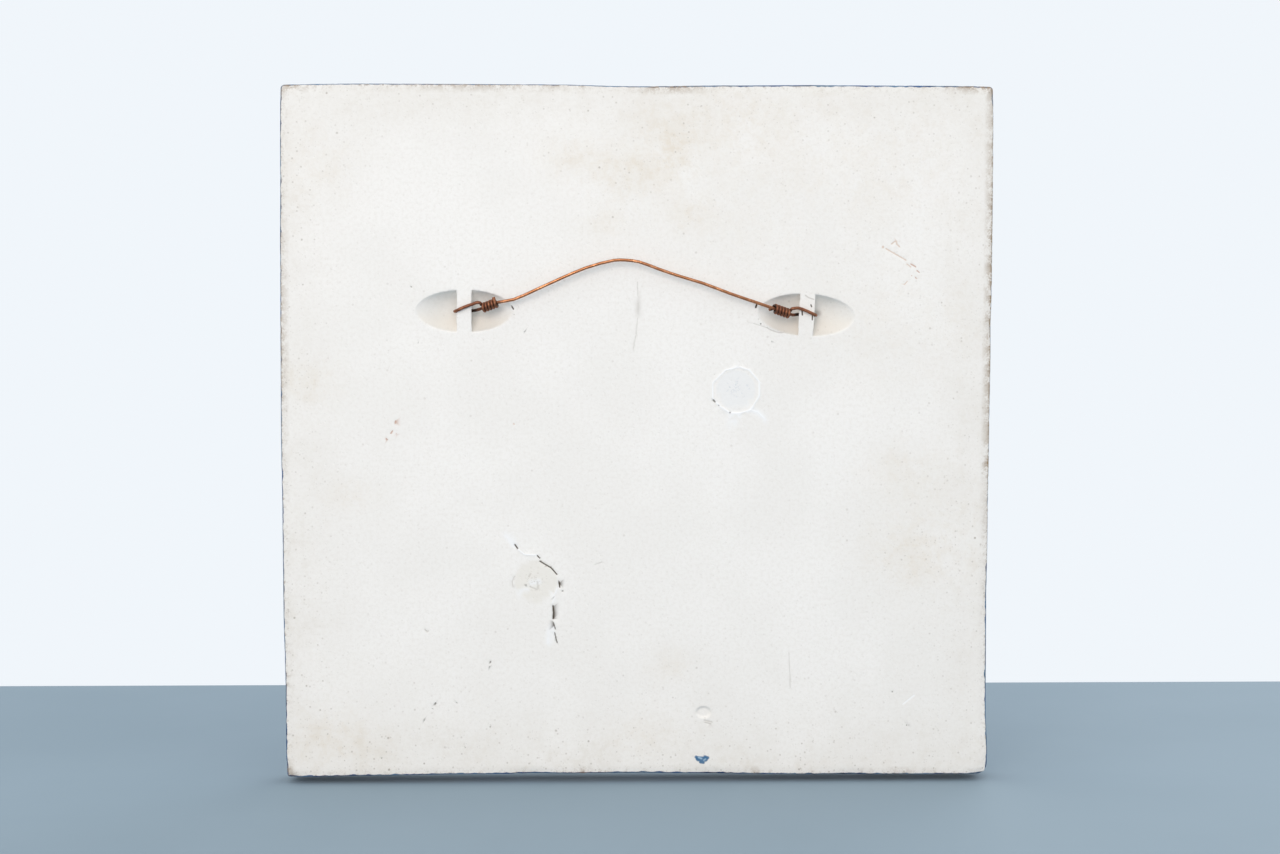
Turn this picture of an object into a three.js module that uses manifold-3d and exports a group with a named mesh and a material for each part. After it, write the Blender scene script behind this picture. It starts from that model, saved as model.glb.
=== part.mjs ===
// A square wall plaque of cast stoneware, glazed blue on its front and sides and bare on its back.
// Two lugs are cut into the back, and a stiff copper wire to hang it by is tied between them.
// Millimetres. The slab is drawn lying on its front: u to the right and v up as the back is seen,
// w out of the back, with w = 0 on the back face. The last group stands it up: +Z is up,
// the back faces +Y, and the origin is under the wire, above the middle of the slab.
import * as THREE from 'three';
import { mergeVertices } from 'three/addons/utils/BufferGeometryUtils.js';
import Module from 'manifold-3d';

// The slab
const slabWidth = 400;
const slabHeight = 391;
const slabThickness = 22;
const arrisRadius = 1.4;
const cornerRadius = 2;
const wornCornerRadius = 6;

// How far each side swells out past the straight line, at even stations along it
const rightSwell = [-1.4, -1.5, -1.1, -0.7, -0.3, 0.1, 0.2];
const topSwell = [0.2, 0.3, 0, -0.6, 0.3, 0.4, 0.5];
const leftSwell = [0.4, 0.9, 1.1, 1.3, 0.9, 0.8, 0];
const bottomSwell = [-0.7, -1.3, -1.5, -1.7, -0.9, -0.3, -0.1];

// The front: a slim raised border round a shallow sunk field
const borderWidth = 24;
const fieldDepth = 2.4;
const fieldShoulder = 5;
const fieldCornerRadius = 10;

// The lugs: a boat-shaped scoop with a bridge left standing across its middle
const leftLug = { u: -97.8, v: 69, tilt: 0 };
const rightLug = { u: 95, v: 66.9, tilt: -0.05 };
const scoopLength = 55;
const scoopHeight = 24;
const scoopDepth = 9.5;
const scoopRim = 3;
const bridgeWidth = 8.8;
const bridgeDraft = 0.14;
const tunnelDiameter = 4.4;
const tunnelDepth = 5;

// A finger dent near the lower edge
const dent = { u: 37.2, v: -159.3, width: 9.6, height: 7.4, depth: 1.1 };

// The wire and how it is tied
const wireDiameter = 1.8;
const wireGap = 0.35;
const turnGap = 0.15;
const bendsPerTurn = 12;
const wireSides = 8;
const archStandOff = 5.6;

// Where each knot lies, from its lug's middle: inward along the wire, up, and out of the face.
// The tail's way is along the knot, up and out.
const leftKnot = {
  root: [10.2, 1.7, 0.3],
  head: [18.8, 4.8, 3.9],
  turns: 4.75,
  tail: [0.1, 1, 0.1],
  tailLength: 3.2,
};
const rightKnot = {
  root: [9.6, 0.6, 0.3],
  head: [18.6, 3.5, 3.9],
  turns: 5.25,
  tail: [0.85, -0.5, 0.1],
  tailLength: 2.2,
};

// The arch between the knots: share of the way from left to right, and rise above the straight line
const archShape = [
  [0.06, 1.9], [0.13, 6.8], [0.22, 13.5], [0.32, 20.4], [0.42, 24.9], [0.46, 25.2], [0.51, 24.4],
  [0.58, 20.7], [0.65, 17.2], [0.74, 13.3], [0.84, 7.8], [0.93, 3.4],
];

// The hook holds the wire here, above the middle of the slab
const hookPoint = { u: 0, v: 95.6, w: archStandOff };

const wasm = await Module();
wasm.setup();

// A closed three.js geometry as a solid that can be cut and joined
function solid(geometry) {
  const bare = geometry.clone();
  bare.deleteAttribute('normal');
  bare.deleteAttribute('uv');
  const merged = mergeVertices(bare, 1e-5);
  const vertProperties = new Float32Array(merged.attributes.position.array);
  const triVerts = new Uint32Array(merged.index.array);
  return new wasm.Manifold(new wasm.Mesh({ numProp: 3, vertProperties, triVerts }));
}

// The solid as a named piece with its own material
function piece(name, shape, material) {
  const mesh = shape.getMesh();
  const geometry = new THREE.BufferGeometry();
  geometry.setAttribute('position', new THREE.BufferAttribute(new Float32Array(mesh.vertProperties), 3));
  geometry.setIndex(new THREE.BufferAttribute(new Uint32Array(mesh.triVerts), 1));
  geometry.computeVertexNormals();
  const result = new THREE.Mesh(geometry, material);
  result.name = name;
  return result;
}

// Points along one side between two corners, pushed out by the side's swell
function sidePoints(from, to, swell) {
  const along = to.clone().sub(from);
  const outward = new THREE.Vector2(along.y, -along.x).normalize();
  return swell.map((out, i) => from.clone()
    .addScaledVector(along, (i + 1) / (swell.length + 1))
    .addScaledVector(outward, out));
}

// The slab's outline, anticlockwise from its lower right corner
function slabOutline() {
  const w = slabWidth / 2;
  const h = slabHeight / 2;
  const corners = [[w, -h], [w, h], [-w, h], [-w, -h]].map(([x, y]) => new THREE.Vector2(x, y));
  const radii = [wornCornerRadius, cornerRadius, cornerRadius, cornerRadius];
  const swells = [rightSwell, topSwell, leftSwell, bottomSwell];
  const outline = new THREE.Shape();
  corners.forEach((corner, i) => {
    const next = corners[(i + 1) % 4];
    const side = next.clone().sub(corner).normalize();
    const start = corner.clone().addScaledVector(side, radii[i]);
    const end = next.clone().addScaledVector(side, -radii[(i + 1) % 4]);
    if (i === 0) outline.moveTo(start.x, start.y);
    outline.splineThru([...sidePoints(corner, next, swells[i]), end]);
    const turn = corners[(i + 2) % 4].clone().sub(next).normalize();
    const after = next.clone().addScaledVector(turn, radii[(i + 1) % 4]);
    outline.quadraticCurveTo(next.x, next.y, after.x, after.y);
  });
  return outline;
}

function slabBlock() {
  const geometry = new THREE.ExtrudeGeometry(slabOutline(), {
    depth: slabThickness - 2 * arrisRadius,
    bevelThickness: arrisRadius,
    bevelSize: arrisRadius,
    bevelOffset: -arrisRadius,
    bevelSegments: 3,
    curveSegments: 3,
  });
  geometry.translate(0, 0, arrisRadius - slabThickness);
  return solid(geometry);
}

// The sunk field of the front, with a soft shoulder up to the border
function frontField() {
  const w = slabWidth / 2 - borderWidth - fieldShoulder;
  const h = slabHeight / 2 - borderWidth - fieldShoulder;
  const r = fieldCornerRadius;
  const outline = new THREE.Shape();
  outline.moveTo(w - r, -h);
  outline.quadraticCurveTo(w, -h, w, r - h);
  outline.lineTo(w, h - r);
  outline.quadraticCurveTo(w, h, w - r, h);
  outline.lineTo(r - w, h);
  outline.quadraticCurveTo(-w, h, -w, h - r);
  outline.lineTo(-w, r - h);
  outline.quadraticCurveTo(-w, -h, r - w, -h);
  const geometry = new THREE.ExtrudeGeometry(outline, {
    depth: fieldDepth,
    bevelThickness: fieldDepth,
    bevelSize: fieldShoulder,
    bevelSegments: 4,
    curveSegments: 5,
  });
  geometry.translate(0, 0, -slabThickness - fieldDepth);
  return solid(geometry);
}

// A boat-shaped scoop, deepest in the middle, whose walls meet the face at a slant
function scoop() {
  const reach = scoopDepth + scoopRim;
  const flare = 1 / Math.sqrt(1 - (scoopRim / reach) ** 2);
  const geometry = new THREE.SphereGeometry(1, 28, 20);
  geometry.rotateZ(Math.PI / 2);
  geometry.scale(flare * scoopLength / 2, flare * scoopHeight / 2, reach);
  geometry.translate(0, 0, scoopRim);
  return solid(geometry);
}

// The bar of clay left across the scoop, a little wider at its foot
function bridge() {
  const top = bridgeWidth / 2;
  const foot = top + bridgeDraft * 2 * scoopDepth;
  const section = new THREE.Shape();
  section.moveTo(-foot, -2 * scoopDepth);
  section.lineTo(foot, -2 * scoopDepth);
  section.lineTo(top, 0);
  section.lineTo(top, scoopDepth);
  section.lineTo(-top, scoopDepth);
  section.lineTo(-top, 0);
  const geometry = new THREE.ExtrudeGeometry(section, { depth: 2 * scoopHeight, bevelEnabled: false });
  geometry.translate(0, 0, -scoopHeight);
  geometry.rotateX(Math.PI / 2);
  return solid(geometry);
}

// The hole that the wire goes through, under the bridge
function tunnel() {
  const length = bridgeWidth + 4 * bridgeDraft * scoopDepth;
  const geometry = new THREE.CylinderGeometry(tunnelDiameter / 2, tunnelDiameter / 2, length, 16);
  geometry.rotateZ(Math.PI / 2);
  geometry.translate(0, 0, -tunnelDepth);
  return solid(geometry);
}

function lugCut(lug) {
  return scoop().subtract(bridge()).add(tunnel())
    .rotate([0, 0, THREE.MathUtils.radToDeg(lug.tilt)])
    .translate([lug.u, lug.v, 0]);
}

function dentCut() {
  const geometry = new THREE.SphereGeometry(1, 18, 10);
  geometry.scale(dent.width / 2, dent.height / 2, dent.depth);
  geometry.translate(dent.u, dent.v, 0);
  return solid(geometry);
}

// The points of one tied end, from the tail through the knot and the bridge and back to the arch.
// side is 1 where the arch lies to the right of the lug and -1 where it lies to the left.
function tiedEnd(lug, side, knot) {
  const place = ([inward, up, out]) => new THREE.Vector3(lug.u + side * inward, lug.v + up, out);
  const root = place(knot.root);
  const head = place(knot.head);
  const along = head.clone().sub(root).normalize();
  const up = new THREE.Vector3(0, 1, 0).addScaledVector(along, -along.y).normalize();
  const out = new THREE.Vector3().crossVectors(along, up).multiplyScalar(side);
  const wrapRadius = wireDiameter + 1.4 * turnGap;
  const pitch = wireDiameter + turnGap;
  const edge = bridgeWidth / 2;
  const onFace = wireDiameter / 2 + wireGap;

  const wraps = [];
  const bends = Math.round(knot.turns * bendsPerTurn);
  for (let i = bends; i >= 0; i -= 1) {
    const angle = 2 * Math.PI * i / bendsPerTurn;
    wraps.push(root.clone()
      .addScaledVector(along, pitch * i / bendsPerTurn)
      .addScaledVector(up, wrapRadius * Math.cos(angle))
      .addScaledVector(out, -wrapRadius * Math.sin(angle)));
  }
  const tailWay = new THREE.Vector3()
    .addScaledVector(along, knot.tail[0])
    .addScaledVector(up, knot.tail[1])
    .addScaledVector(out, knot.tail[2])
    .normalize();
  const tail = [1, 0.5].map((share) => (
    wraps[0].clone().addScaledVector(tailWay, share * knot.tailLength)
  ));

  // Off the knot, over the bridge, down past its far edge, back through the tunnel and up to the knot.
  // How far each bend swings is told in wires' widths.
  const bend = wireDiameter;
  const loop = [
    [knot.root[0] - 0.61 * bend, knot.root[1] + 1.61 * bend, 1.17 * bend],
    [knot.root[0] - 1.44 * bend, knot.root[1] + 1.72 * bend, 1.28 * bend],
    [edge + 0.22 * bend, 2.17 * bend, onFace + 0.17 * bend],
    [0, 1.22 * bend, onFace],
    [-edge + 0.5 * bend, 0.33 * bend, onFace - 0.05 * bend],
    [-edge - 0.44 * bend, 0, -0.28 * bend],
    [-edge - 0.56 * bend, -0.05 * bend, 0.11 * bend - tunnelDepth / 2],
    [-edge - 0.11 * bend, 0, 0.5 * bend - tunnelDepth],
    [-edge + 0.89 * bend, 0.05 * bend, -tunnelDepth],
    [edge - 1.11 * bend, 0.17 * bend, -tunnelDepth],
    [edge + 0.33 * bend, 0.22 * bend, 0.5 * bend - tunnelDepth],
  ].map(place);
  const core = [
    root.clone().addScaledVector(along, -pitch),
    root.clone().lerp(head, 0.5),
    head,
  ];
  return [...tail, ...wraps, ...loop, ...core];
}

// The whole wire's route, from the left tail to the right tail
function wireRoute() {
  const left = tiedEnd(leftLug, 1, leftKnot);
  const right = tiedEnd(rightLug, -1, rightKnot).reverse();
  const from = left[left.length - 1];
  const to = right[0];
  const arch = archShape.map(([share, rise]) => {
    const point = from.clone().lerp(to, share);
    const settle = Math.min(1, 8 * share, 8 * (1 - share));
    point.y += rise;
    point.z += settle * (archStandOff - point.z);
    return point;
  });
  return [...left, ...arch, ...right];
}

// A round wire bent along a route, with its steps at the route's own points
function bentWire(points, radius) {
  const curve = new THREE.CatmullRomCurve3(points, false, 'centripetal');
  curve.getUtoTmapping = (share) => share;
  const section = new THREE.Shape();
  for (let i = 0; i < wireSides; i += 1) {
    const angle = 2 * Math.PI * i / wireSides;
    const x = radius * Math.cos(angle);
    const y = radius * Math.sin(angle);
    if (i === 0) section.moveTo(x, y);
    else section.lineTo(x, y);
  }
  const steps = points.length - 1;
  return solid(new THREE.ExtrudeGeometry(section, { steps, bevelEnabled: false, extrudePath: curve }));
}

const stoneware = new THREE.MeshStandardMaterial({ color: 0xefeeea, roughness: 0.9, metalness: 0 });
const copper = new THREE.MeshStandardMaterial({ color: 0xb06d47, roughness: 0.38, metalness: 1 });

// The wire has bitten into the bridges' edges, so its own way is cut clear of them
const route = wireRoute();
const body = slabBlock()
  .subtract(frontField())
  .subtract(lugCut(leftLug))
  .subtract(lugCut(rightLug))
  .subtract(dentCut())
  .subtract(bentWire(route, wireDiameter / 2 + wireGap));

const lying = new THREE.Group();
lying.add(piece('plaque_body', body, stoneware));
lying.add(piece('hanging_wire', bentWire(route, wireDiameter / 2), copper));
lying.position.set(-hookPoint.u, -hookPoint.v, -hookPoint.w);

const upright = new THREE.Group();
upright.add(lying);
upright.rotation.set(Math.PI / 2, 0, Math.PI, 'ZYX');

const group = new THREE.Group();
group.add(upright);

export default group;
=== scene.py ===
import math
import random

import bmesh
import bpy
import numpy as np
from mathutils import Matrix, Vector, noise


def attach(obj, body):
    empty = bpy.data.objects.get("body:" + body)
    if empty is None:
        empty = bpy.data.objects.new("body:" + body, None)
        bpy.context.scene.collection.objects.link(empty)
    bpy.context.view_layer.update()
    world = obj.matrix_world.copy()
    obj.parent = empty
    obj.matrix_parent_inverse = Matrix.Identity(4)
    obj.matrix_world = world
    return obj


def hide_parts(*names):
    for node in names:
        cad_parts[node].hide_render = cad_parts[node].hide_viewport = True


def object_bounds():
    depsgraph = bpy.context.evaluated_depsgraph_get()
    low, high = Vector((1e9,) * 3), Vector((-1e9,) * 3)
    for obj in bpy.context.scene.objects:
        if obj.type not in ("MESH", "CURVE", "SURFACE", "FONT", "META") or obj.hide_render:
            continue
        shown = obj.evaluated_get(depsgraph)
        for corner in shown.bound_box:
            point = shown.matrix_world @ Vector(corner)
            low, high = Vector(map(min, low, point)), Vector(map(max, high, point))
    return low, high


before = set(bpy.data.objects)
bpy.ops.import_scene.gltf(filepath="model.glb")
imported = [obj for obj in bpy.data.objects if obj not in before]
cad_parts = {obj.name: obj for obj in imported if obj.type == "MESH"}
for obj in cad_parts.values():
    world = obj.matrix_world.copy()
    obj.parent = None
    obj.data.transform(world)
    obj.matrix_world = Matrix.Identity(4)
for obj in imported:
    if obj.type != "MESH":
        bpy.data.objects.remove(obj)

# A square wall plaque of cast stoneware, glazed blue on its front and sides and bare on its back,
# with a copper hanging wire tied between two lugs that are cut into the back.
# Pieces are shaped in millimetres on the plaque lying on its front: u to the right and v up
# as the back is seen, and w out of the back face, where w is 0. stand_up() then puts them
# in the part's frame, in metres, with the back facing +Y.
MM = 0.001

# The box of the solids, before anything here is made
cad_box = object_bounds()

# The slab
WIDTH = 400.0
HEIGHT = 391.0
THICKNESS = 22.0
ARRIS = 1.4
CORNER = 2.0
WORN_CORNER = 6.0
RIGHT_SWELL = (-1.4, -1.5, -1.1, -0.7, -0.3, 0.1, 0.2)
TOP_SWELL = (0.2, 0.3, 0.0, -0.6, 0.3, 0.4, 0.5)
LEFT_SWELL = (0.4, 0.9, 1.1, 1.3, 0.9, 0.8, 0.0)
BOTTOM_SWELL = (-0.7, -1.3, -1.5, -1.7, -0.9, -0.3, -0.1)
BORDER = 24.0
FIELD_DEPTH = 2.4
FIELD_SHOULDER = 5.0

# How far apart the slab's faces are cut, on its front and back and on its sides
FACE_STEP = 3.4
SIDE_STEP = 2.4

# The waves of the hand-worked back: height, length and seed
CLAY_WAVES = ((0.16, 70, 0), (0.07, 22, 5), (0.03, 6, 9))

# How far the crumbling reaches from the back arris
CRUMBLE_REACH = 1.3

# The lugs
LEFT_LUG = {"u": -97.8, "v": 69.0, "tilt": 0.0}
RIGHT_LUG = {"u": 95.0, "v": 66.9, "tilt": -0.05}
SCOOP_LENGTH = 55.0
SCOOP_HEIGHT = 24.0
SCOOP_DEPTH = 9.5
SCOOP_RIM = 3.0

# The share of its depth that a scoop has lost at its far tip
TIP_RISE = 0.65
BRIDGE = 8.8
BRIDGE_DRAFT = 0.14
TUNNEL = 4.4
TUNNEL_DEPTH = 5.0

# The wire
WIRE = 1.8
WIRE_SIDES = 14
WIRE_GAP = 0.35
TURN_GAP = 0.15
BENDS_PER_TURN = 16
STAND_OFF = 5.6
HOOK_HEIGHT = 95.6
LEFT_KNOT = {
    "root": (10.2, 1.7, 0.3),
    "head": (18.8, 4.8, 3.9),
    "turns": 4.75,
    "tail": (0.1, 1, 0.1),
    "reach": 3.2,
}
RIGHT_KNOT = {
    "root": (9.6, 0.6, 0.3),
    "head": (18.6, 3.5, 3.9),
    "turns": 5.25,
    "tail": (0.85, -0.5, 0.1),
    "reach": 2.2,
}
ARCH = (
    (0.06, 1.9), (0.13, 6.8), (0.22, 13.5), (0.32, 20.4), (0.42, 24.9), (0.46, 25.2), (0.51, 24.4),
    (0.58, 20.7), (0.65, 17.2), (0.74, 13.3), (0.84, 7.8), (0.93, 3.4),
)

# Each end of the wire: its lug, the way from the lug to the middle, and its knot
ENDS = ((LEFT_LUG, 1, LEFT_KNOT), (RIGHT_LUG, -1, RIGHT_KNOT))

# How far the free arch reaches to either side, before the browned turns of the knots
ARCH_REACH = 76.0

# A finger dent near the lower edge
DENT = {"u": 37.2, "v": -159.3, "width": 9.6, "height": 7.4, "depth": 1.1}

# The bare clay's colour, and what each kind of mark looks like: its colour, how strong it is, how soft
# its edge is in millimetres, and if it is fine, so that it needs finer faces and stays on the back face
CLAY = (0.89, 0.875, 0.845)
FINISHES = {
    "crack": {"colour": (0.07, 0.052, 0.036), "strength": 1.0, "soft": 0.16, "fine": True},
    "hair": {"colour": (0.42, 0.39, 0.35), "strength": 0.5, "soft": 0.3, "fine": True},
    "pit": {"colour": (0.13, 0.12, 0.1), "strength": 0.85, "soft": 0.3, "fine": True},
    "rust": {"colour": (0.45, 0.19, 0.09), "strength": 0.7, "soft": 0.2, "fine": True},
    "ochre": {"colour": (0.55, 0.33, 0.19), "strength": 0.5, "soft": 0.15, "fine": True},
    "seam": {"colour": (0.97, 0.985, 1.0), "strength": 0.9, "soft": 0.35, "fine": True},
    "smear": {"colour": (0.93, 0.955, 0.985), "strength": 0.6, "soft": 1.6, "fine": False},
    "filler": {"colour": (0.83, 0.845, 0.85), "strength": 0.6, "soft": 0.8, "fine": False},
    "warm_filler": {"colour": (0.8, 0.775, 0.71), "strength": 0.6, "soft": 0.7, "fine": False},
    # Painted shade: a dark smudge at the tunnels' outer mouths, where the wire loops in
    "tunnel_mouth_shade": {"colour": (0.2, 0.14, 0.11), "strength": 0.6, "soft": 1.3, "fine": False},
    "glaze_spot": {"colour": (0.045, 0.15, 0.29), "strength": 0.95, "soft": 0.3, "fine": True},
    "glaze_fleck": {"colour": (0.42, 0.58, 0.72), "strength": 0.8, "soft": 0.3, "fine": True},
    "blue_pit": {"colour": (0.62, 0.66, 0.7), "strength": 0.6, "soft": 0.2, "fine": True},
    "brown_pit": {"colour": (0.5, 0.46, 0.4), "strength": 0.5, "soft": 0.2, "fine": True},
}

# Two round fillings: the seams round them, as they run
RIGHT_FILLING = (
    (42.0, 28.6), (42.0, 20.1), (45.5, 15.9), (51.9, 11.6), (57.7, 11.6), (63.5, 13.3),
    (68.5, 21.2), (68.5, 29.1), (62.7, 35.9), (57.3, 37.6), (49.4, 35.9), (42.0, 28.6),
)
LEFT_FILLING_TOP = ((-68.3, -65.3), (-64.4, -68.4), (-57.9, -68.7))

# Every mark: its kind, its width, its depth in the face, and the line that it follows
MARKS = (
    ("filler", 22.0, 0.05, ((55.2, 24.6), (55.2, 24.7))),
    ("warm_filler", 24.0, 0.04, ((-57.9, -83.5), (-57.9, -83.6))),
    ("smear", 2.6, 0.0, ((63.5, 13.3), (68.5, 11.5), (71.5, 7.9))),
    ("smear", 2.2, 0.0, ((52.7, 11.1), (52.4, 4.2))),
    ("smear", 2.0, 0.0, ((57.0, 10.5), (54.5, 5.5))),
    ("smear", 4.0, 0.0, ((-49.5, -111.0), (-50.5, -118.0))),
    ("smear", 3.0, 0.0, ((-74.5, -57.0), (-70.5, -62.5))),
    ("smear", 2.4, 0.0, ((-69.2, -90.2), (-63.0, -88.3))),
    ("smear", 3.0, 0.0, ((-60.5, -84.5), (-56.5, -84.0))),
    ("seam", 0.75, -0.3, RIGHT_FILLING),
    ("seam", 0.6, -0.25, LEFT_FILLING_TOP),
    ("seam", 0.6, -0.2, ((-46.0, -88.0), (-47.5, -91.5), (-48.5, -96.0))),
    ("seam", 0.5, -0.15, ((63.5, 13.3), (67.5, 12.3), (70.3, 9.4))),
    ("crack", 0.8, 0.5, ((-69.8, -62.8), (-68.3, -65.0))),
    ("crack", 0.7, 0.4, ((-57.1, -69.1), (-55.8, -70.6))),
    ("crack", 0.7, 0.5, ((-55.8, -72.2), (-52.7, -74.1), (-49.3, -76.1), (-46.1, -79.8))),
    ("crack", 0.95, 0.6, ((-44.9, -84.0), (-44.4, -87.0))),
    ("crack", 1.0, 0.7, ((-48.3, -97.8), (-48.0, -101.6), (-48.2, -105.0))),
    ("crack", 0.6, 0.4, ((-48.0, -107.5), (-47.0, -111.0))),
    ("crack", 0.6, 0.4, ((-47.4, -113.0), (-46.7, -116.4), (-45.7, -119.6))),
    ("hair", 0.6, 0.2, ((-70.0, -80.8), (-71.4, -83.7), (-70.9, -87.1))),
    ("hair", 0.5, 0.2, ((-61.6, -86.7), (-57.1, -88.5), (-56.8, -84.0))),
    ("pit", 0.9, 0.4, ((-42.8, -89.3),)),
    ("pit", 0.7, 0.4, ((-47.5, -92.8),)),
    ("pit", 0.7, 0.4, ((-63.6, -85.8),)),
    ("hair", 0.7, 0.2, ((-61.8, -81.1), (-61.2, -79.8))),
    ("pit", 1.0, 0.6, ((42.5, 18.9), (43.3, 18.0))),
    ("pit", 0.7, 0.4, ((45.5, 15.9),)),
    ("pit", 0.9, 0.5, ((51.9, 11.8),)),
    ("hair", 0.6, 0.2, ((43.0, 33.4),)),
    ("hair", 0.6, 0.2, ((43.1, 29.7),)),
    ("hair", 0.4, 0.1, ((-0.5, 86.0), (0.0, 69.7), (-1.1, 56.8), (-2.8, 47.7))),
    ("hair", 0.35, 0.1, ((85.7, -123.3), (86.1, -134.0), (86.7, -145.3))),
    ("hair", 0.5, 0.1, ((-24.6, -74.2), (-20.5, -72.8))),
    ("hair", 0.6, 0.3, ((37.5, -163.9), (42.1, -165.1))),
    ("hair", 0.6, 0.3, ((37.9, -165.2), (41.4, -166.2))),
    ("glaze_spot", 3.0, -0.1, ((34.2, -186.6), (38.2, -186.8))),
    ("glaze_spot", 1.8, -0.1, ((33.0, -185.6), (34.4, -186.4))),
    ("glaze_spot", 1.8, -0.1, ((38.0, -185.4), (39.6, -186.0))),
    ("glaze_spot", 1.5, -0.1, ((35.4, -188.6), (37.2, -188.8))),
    ("glaze_fleck", 0.9, 0.0, ((34.4, -185.8), (36.0, -186.4))),
    ("glaze_fleck", 0.7, 0.0, ((37.4, -187.4), (38.4, -186.6))),
    ("ochre", 0.7, 0.2, ((139.6, 104.3), (145.0, 101.2), (151.0, 97.8))),
    ("ochre", 0.8, 0.2, ((142.8, 106.9), (145.3, 108.8), (146.0, 106.5), (147.3, 105.4))),
    ("ochre", 1.6, 0.1, ((137.9, 105.2),)),
    ("ochre", 0.6, 0.2, ((151.5, 95.7), (153.7, 94.0))),
    ("rust", 0.7, 0.2, ((153.8, 95.6), (156.5, 94.1))),
    ("rust", 0.6, 0.2, ((157.2, 92.0), (158.6, 90.9))),
    ("rust", 0.6, 0.2, ((156.4, 88.1), (157.5, 87.0))),
    ("rust", 0.6, 0.2, ((154.3, 89.1),)),
    ("ochre", 0.6, 0.2, ((151.9, 85.9), (149.9, 83.7))),
    ("rust", 0.9, 0.3, ((-136.7, 7.3), (-136.9, 6.0))),
    ("rust", 0.8, 0.3, ((-138.5, 1.6), (-139.4, 0.2))),
    ("rust", 0.8, 0.3, ((-142.1, -2.7), (-141.2, -3.6))),
    ("rust", 0.5, 0.2, ((-136.3, 0.2),)),
    ("rust", 0.8, 0.3, ((-70.1, 5.5),)),
    ("rust", 0.9, 0.3, ((31.3, 177.6),)),
    ("pit", 0.8, 0.4, ((-52.3, 155.4),)),
    ("pit", 0.9, 0.4, ((-83.0, -124.8),)),
    ("pit", 0.8, 0.4, ((-83.8, -129.4), (-84.0, -130.2))),
    ("pit", 0.7, 0.4, ((-84.4, -132.4),)),
    ("pit", 0.7, 0.4, ((-79.4, -143.4),)),
    ("pit", 1.0, 0.4, ((-115.0, -153.2), (-115.6, -154.2))),
    ("pit", 0.8, 0.4, ((-116.8, -156.8),)),
    ("pit", 0.8, 0.4, ((-121.4, -162.9),)),
    ("pit", 0.7, 0.4, ((-103.1, -153.3),)),
    ("pit", 0.7, 0.4, ((-84.2, -167.6),)),
    ("pit", 0.8, 0.4, ((-98.3, -179.4),)),
    ("pit", 0.7, 0.4, ((-145.8, -185.1),)),
    ("pit", 0.8, 0.4, ((144.9, -147.5),)),
    ("pit", 0.8, 0.4, ((153.4, -166.9),)),
    ("hair", 0.7, 0.3, ((-121.0, -111.0), (-119.6, -112.4), (-118.4, -111.4))),
    ("seam", 0.6, 0.1, ((151.4, -154.5), (158.2, -149.2))),
    ("crack", 1.0, 0.5, ((66.9, 73.1), (66.3, 71.2))),
    ("crack", 0.8, 0.5, ((92.4, 69.6), (92.6, 67.0))),
    ("crack", 0.7, 0.5, ((98.3, 66.6), (98.2, 64.2))),
    ("crack", 0.7, 0.4, ((97.4, 72.6), (97.8, 71.6))),
    ("crack", 0.8, 0.4, ((-71.2, 71.8), (-70.2, 70.2))),
    ("hair", 0.7, 0.2, ((72.7, 59.7), (75.3, 58.2), (79.2, 57.0), (81.4, 56.9), (83.5, 58.4))),
    ("hair", 0.4, 0.1, ((60.2, 63.6), (65.8, 61.9), (72.7, 59.7))),
    ("hair", 0.7, 0.1, ((94.3, 78.0), (96.0, 76.7), (99.0, 75.7))),
    ("pit", 0.6, 0.2, ((86.1, 64.7),)),
    ("pit", 0.6, 0.2, ((89.4, 62.1),)),
    ("pit", 0.8, 0.3, ((69.1, 61.9),)),
    ("hair", 0.6, 0.2, ((67.8, 64.5),)),
    ("pit", 0.9, 0.3, ((75.1, 52.4),)),
    ("pit", 0.7, 0.0, ((106.9, 66.6),)),
    ("pit", 0.6, 0.0, ((109.2, 66.8),)),
    # Painted shade: a dark line along the crease in the middle of the right lug's right scoop
    ("hair", 0.8, 0.0, ((114.2, 65.3), (117.3, 64.5))),
    ("pit", 0.8, 0.0, ((118.6, 66.2),)),
    ("pit", 0.9, 0.0, ((120.3, 64.7), (121.3, 65.3))),
    # Painted shade at the tunnels' outer mouths beside the bridges
    ("tunnel_mouth_shade", 3.4, 0.0, ((102.2, 68.0),)),
    ("tunnel_mouth_shade", 1.6, 0.0, ((-103.0, 67.6),)),
    # Painted shade: dark lines along the crease of the left lug's left scoop, at its tip and by the bridge
    ("hair", 0.8, 0.0, ((-122.6, 72.7), (-121.3, 71.6), (-120.7, 70.4))),
    ("hair", 0.6, 0.0, ((-106.8, 70.8), (-105.8, 70.4))),
    ("pit", 0.7, 0.3, ((-127.3, 82.6),)),
    ("pit", 0.8, 0.3, ((-124.0, 51.0),)),
    ("pit", 0.8, 0.3, ((-63.9, 57.5),)),
    ("hair", 0.7, 0.2, ((-67.0, 71.5),)),
    ("hair", 0.7, 0.2, ((-69.9, 67.0),)),
)

# Fine pitting over the middle of each filling: kind, place, reach and number
PITTING = (
    ("blue_pit", 54.5, 25.5, 5.0, 60),
    ("brown_pit", -58.0, -82.0, 6.0, 50),
    ("brown_pit", -104.0, 68.5, 3.0, 14),
    ("brown_pit", 103.5, 68.5, 3.5, 18),
)

# Faint stains: place, size and strength
STAINS = (
    (60, 150, 80, 0.22), (150, 60, 50, 0.25), (172, -60, 36, 0.3), (-180, 150, 28, 0.3),
    (150, 150, 45, 0.25), (-37, 155, 16, 0.5), (-5, 145, 20, 0.6), (18, 154, 14, 0.5),
    (12, 175, 16, 0.45), (24, 164, 12, 0.4), (-19, 119, 12, 0.35), (29, 123, 13, 0.35),
    (-161, -35, 14, 0.35), (-184, 28, 16, 0.5), (152, -20, 22, 0.4), (152, -70, 24, 0.4),
    (18, -132, 13, 0.3), (1, -172, 18, 0.3), (-172, -174, 26, 0.5), (60, 176, 22, 0.35),
)

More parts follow.
